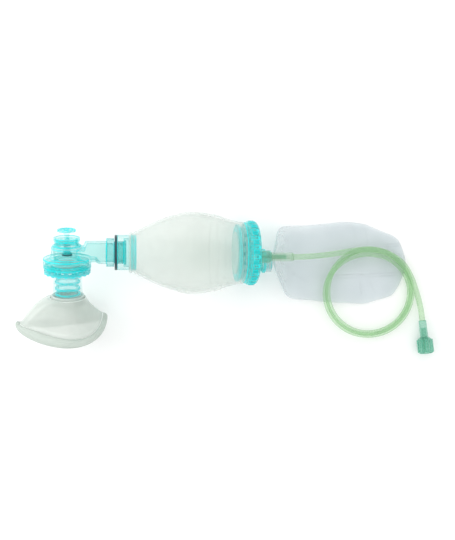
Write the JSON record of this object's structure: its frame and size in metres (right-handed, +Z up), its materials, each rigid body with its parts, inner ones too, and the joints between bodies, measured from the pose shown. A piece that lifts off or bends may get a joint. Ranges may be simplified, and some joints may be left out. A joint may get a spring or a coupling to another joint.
{
  "type": "infant bag valve mask",
  "caption": "Hand-squeezed resuscitator: clear bag, teal patient valve with relief knob, face mask, rear valve with reservoir bag, and green oxygen tube in a coil.",
  "frame": {"origin": "middle of the footprint of the device as it lies on a table, on the table's surface, without the oxygen tube", "axes": "+X from the patient valve towards the reservoir bag, +Z up from the table, +Y on the relief knob's side, with the mask towards -Y"},
  "size_m": [0.3303, 0.113, 0.0639],
  "materials": {
    "clear_bag": "clear satin silicone",
    "teal_clear": "clear teal, glossy",
    "teal": "teal, glossy",
    "dark_seal": "dark green-black rubber, satin",
    "silicone": "milky silicone, satin",
    "clear_plastic": "clear, glossy",
    "spring_steel": "bright drawn wire",
    "mask_clear": "clear soft plastic, glossy",
    "mask_rim": "clear soft plastic, satin",
    "reservoir_film": "thin creased film, milky",
    "green_fitting": "green clear plastic, glossy",
    "green_tube": "clear green soft tube, glossy"
  },
  "bodies": {
    "bag": {"squeeze_bag": "clear_bag", "bag_neck_collar": "teal_clear", "neck_seal_ring": "dark_seal", "inlet_valve_body": "teal_clear", "cover_gasket": "silicone", "rear_cover": "teal_clear", "reservoir_port": "teal_clear", "reservoir_clamp_ring": "teal", "reservoir_neck": "reservoir_film", "reservoir_bag": "reservoir_film", "oxygen_inlet_fitting": "green_fitting", "tube_cuff": "green_tube", "oxygen_tube_lead": "green_tube", "oxygen_tube_coil": "green_tube", "oxygen_tube_tail": "green_tube", "tube_connector_stem": "green_fitting", "tube_connector_hub": "green_fitting"},
    "valve_head": {"swivel_collar": "teal_clear", "valve_housing": "teal_clear", "valve_base": "teal", "relief_seat_cup": "clear_plastic", "relief_cap": "teal_clear", "relief_spring": "spring_steel"},
    "lip_valve": {"lip_valve": "silicone"},
    "mask_sleeve": {"connector_sleeve": "clear_plastic"},
    "mask": {"mask_connector_ring": "mask_clear", "mask_dome": "mask_clear", "mask_cushion": "mask_rim"},
    "relief_poppet": {"relief_poppet": "teal", "relief_seal": "dark_seal"},
    "relief_knob": {"relief_knob": "teal", "stem_grommet": "dark_seal"},
    "intake_valve": {"intake_valve_disc": "silicone"},
    "retaining_ring": {"retaining_ring": "teal"},
    "reservoir_intake_valve": {"reservoir_intake_disc": "silicone"},
    "reservoir_vent_valve": {"reservoir_vent_disc": "silicone"}
  },
  "joints": [
    {"name": "head_swivel", "type": "hinge", "parent": "bag", "child": "valve_head", "pos_m": [-0.07322, 0.0199, 0.04013], "axis": [0.9895, 0, -0.1444], "continuous": true},
    {"name": "mask_swivel", "type": "hinge", "parent": "valve_head", "child": "mask_sleeve", "pos_m": [-0.11355, 0.00058, 0.04078], "axis": [0.0374, 0.9659, 0.2561], "continuous": true},
    {"name": "mask_pull_off", "type": "slide", "parent": "mask_sleeve", "child": "mask", "axis": [-0.0374, -0.9659, -0.2561], "range_m": [0, 0.012]},
    {"name": "lip_valve_lift", "type": "slide", "parent": "valve_head", "child": "lip_valve", "axis": [0.0374, 0.9659, 0.2561], "range_m": [0, 0.0011], "stiffness_N_per_m": 4},
    {"name": "relief_lift", "type": "slide", "parent": "valve_head", "child": "relief_poppet", "axis": [0.0374, 0.9659, 0.2561], "range_m": [0, 0.0025], "stiffness_N_per_m": 180, "springref_m": -0.001, "deforming": ["relief_spring"]},
    {"name": "knob_turn", "type": "hinge", "parent": "relief_poppet", "child": "relief_knob", "pos_m": [-0.11243, 0.02956, 0.04846], "axis": [0.0374, 0.9659, 0.2561], "range_deg": [0, 90]},
    {"name": "intake_valve_lift", "type": "slide", "parent": "bag", "child": "intake_valve", "axis": [-0.9895, 0, 0.1444], "range_m": [0, 0.0015], "stiffness_N_per_m": 4},
    {"name": "ring_turn", "type": "hinge", "parent": "bag", "child": "retaining_ring", "pos_m": [0.02573, 0.0199, 0.02569], "axis": [0.9895, 0, -0.1444], "range_deg": [0, 60]},
    {"name": "reservoir_intake_lift", "type": "slide", "parent": "bag", "child": "reservoir_intake_valve", "axis": [-0.9895, 0, 0.1444], "range_m": [0, 0.001], "stiffness_N_per_m": 4},
    {"name": "reservoir_vent_lift", "type": "slide", "parent": "bag", "child": "reservoir_vent_valve", "axis": [0.9895, 0, -0.1444], "range_m": [0, 0.001], "stiffness_N_per_m": 4}
  ]
}
